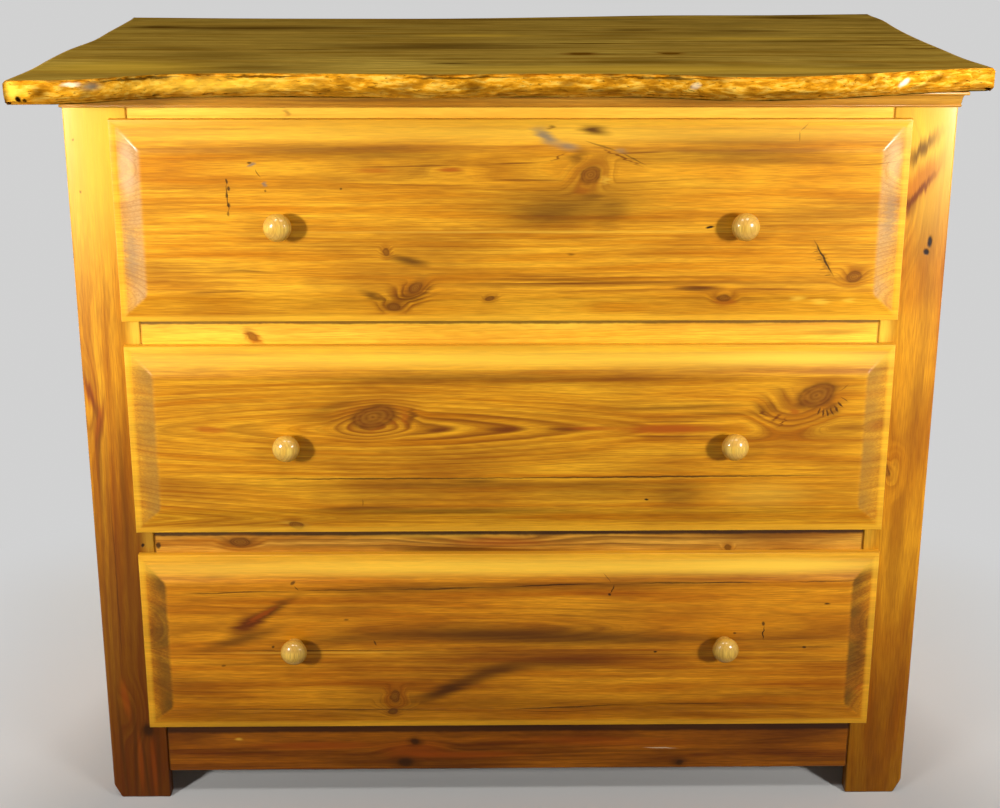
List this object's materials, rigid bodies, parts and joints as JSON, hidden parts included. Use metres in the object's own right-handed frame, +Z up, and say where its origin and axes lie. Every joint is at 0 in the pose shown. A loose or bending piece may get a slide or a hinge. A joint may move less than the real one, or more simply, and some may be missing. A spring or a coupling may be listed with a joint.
{
  "type": "chest of drawers",
  "caption": "Rustic honey-stained pine chest of drawers with a live-edge plank top, face frame, fielded overlay drawer fronts and turned wooden knobs.",
  "frame": {"origin": "on the floor, under the middle of the chest's bounding box", "axes": "+X to the viewer's right along the chest's width, -Y out of the drawer fronts, +Z up"},
  "size_m": [1.071, 0.649, 0.9188],
  "materials": {
    "stained_pine": "honey-stained, lacquered",
    "plank_pine": "stained and lacquered, bark edge",
    "knob_pine": "turned, lacquered",
    "bare_pine": "planed, unfinished"
  },
  "bodies": {
    "carcass": {"top_slab": "plank_pine", "bed_moulding_front": "stained_pine", "bed_moulding_left": "stained_pine", "bed_moulding_right": "stained_pine", "left_front_stile": "stained_pine", "right_front_stile": "stained_pine", "top_rail": "stained_pine", "upper_drawer_rail": "stained_pine", "lower_drawer_rail": "stained_pine", "bottom_rail": "stained_pine", "left_side_front_stile": "stained_pine", "left_side_rear_stile": "stained_pine", "left_side_top_rail": "stained_pine", "left_side_bottom_rail": "stained_pine", "left_side_panel": "stained_pine", "right_side_front_stile": "stained_pine", "right_side_rear_stile": "stained_pine", "right_side_top_rail": "stained_pine", "right_side_bottom_rail": "stained_pine", "right_side_panel": "stained_pine", "back_top_rail": "bare_pine", "back_bottom_rail": "bare_pine", "back_board_1": "bare_pine", "back_board_2": "bare_pine", "back_board_3": "bare_pine", "back_board_4": "bare_pine", "back_board_5": "bare_pine", "bottom_drawer_left_runner": "bare_pine", "bottom_drawer_right_runner": "bare_pine", "middle_drawer_left_runner": "bare_pine", "middle_drawer_right_runner": "bare_pine", "top_drawer_left_runner": "bare_pine", "top_drawer_right_runner": "bare_pine", "left_kicker": "bare_pine", "right_kicker": "bare_pine"},
    "bottom_drawer": {"bottom_drawer_front": "stained_pine", "bottom_drawer_box_front": "bare_pine", "bottom_drawer_left_side": "bare_pine", "bottom_drawer_right_side": "bare_pine", "bottom_drawer_back": "bare_pine", "bottom_drawer_bottom": "bare_pine", "bottom_drawer_left_knob": "knob_pine", "bottom_drawer_right_knob": "knob_pine"},
    "middle_drawer": {"middle_drawer_front": "stained_pine", "middle_drawer_box_front": "bare_pine", "middle_drawer_left_side": "bare_pine", "middle_drawer_right_side": "bare_pine", "middle_drawer_back": "bare_pine", "middle_drawer_bottom": "bare_pine", "middle_drawer_left_knob": "knob_pine", "middle_drawer_right_knob": "knob_pine"},
    "top_drawer": {"top_drawer_front": "stained_pine", "top_drawer_box_front": "bare_pine", "top_drawer_left_side": "bare_pine", "top_drawer_right_side": "bare_pine", "top_drawer_back": "bare_pine", "top_drawer_bottom": "bare_pine", "top_drawer_left_knob": "knob_pine", "top_drawer_right_knob": "knob_pine"}
  },
  "joints": [
    {"name": "bottom_drawer_slide", "type": "slide", "parent": "carcass", "child": "bottom_drawer", "axis": [0, -1, 0], "range_m": [0, 0.3]},
    {"name": "middle_drawer_slide", "type": "slide", "parent": "carcass", "child": "middle_drawer", "axis": [0, -1, 0], "range_m": [0, 0.3]},
    {"name": "top_drawer_slide", "type": "slide", "parent": "carcass", "child": "top_drawer", "axis": [0, -1, 0], "range_m": [0, 0.3]}
  ]
}
